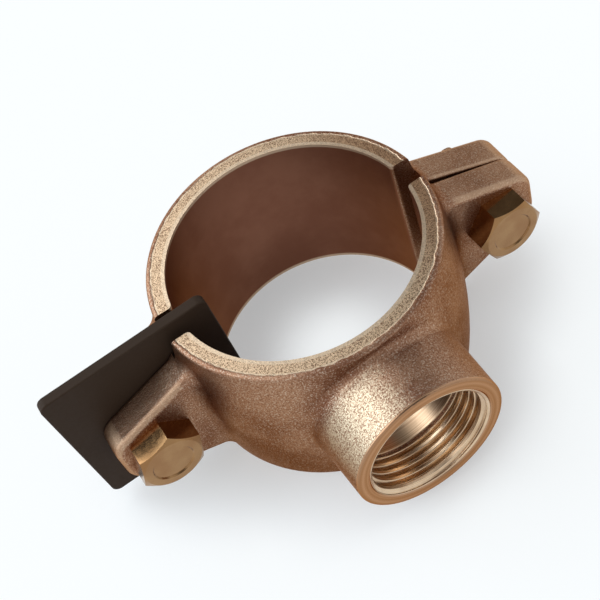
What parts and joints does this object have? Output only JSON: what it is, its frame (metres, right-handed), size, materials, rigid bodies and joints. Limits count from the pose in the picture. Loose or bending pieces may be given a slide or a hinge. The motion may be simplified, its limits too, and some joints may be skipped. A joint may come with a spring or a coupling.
{
  "type": "tapping saddle",
  "caption": "Cast two-half saddle that bolts round a plastic water pipe, with a round boss threaded inside for a branch outlet and a flat rubber sealing pad.",
  "frame": {"origin": "on the pipe's axis, half way along the saddle", "axes": "+Z along the pipe, +X through the right lug, and the outlet points along -Y"},
  "size_m": [0.1327, 0.0907, 0.0512],
  "materials": {
    "casting": "sand-cast gunmetal, with ground rims and a machined mouth and thread",
    "bolts": "bright yellow plated",
    "pad": "smooth satin black"
  },
  "bodies": {
    "root": {"saddle_body": "casting", "strap": "casting", "left_bolt": "bolts", "right_bolt": "bolts", "sealing_pad": "pad"}
  },
  "joints": []
}
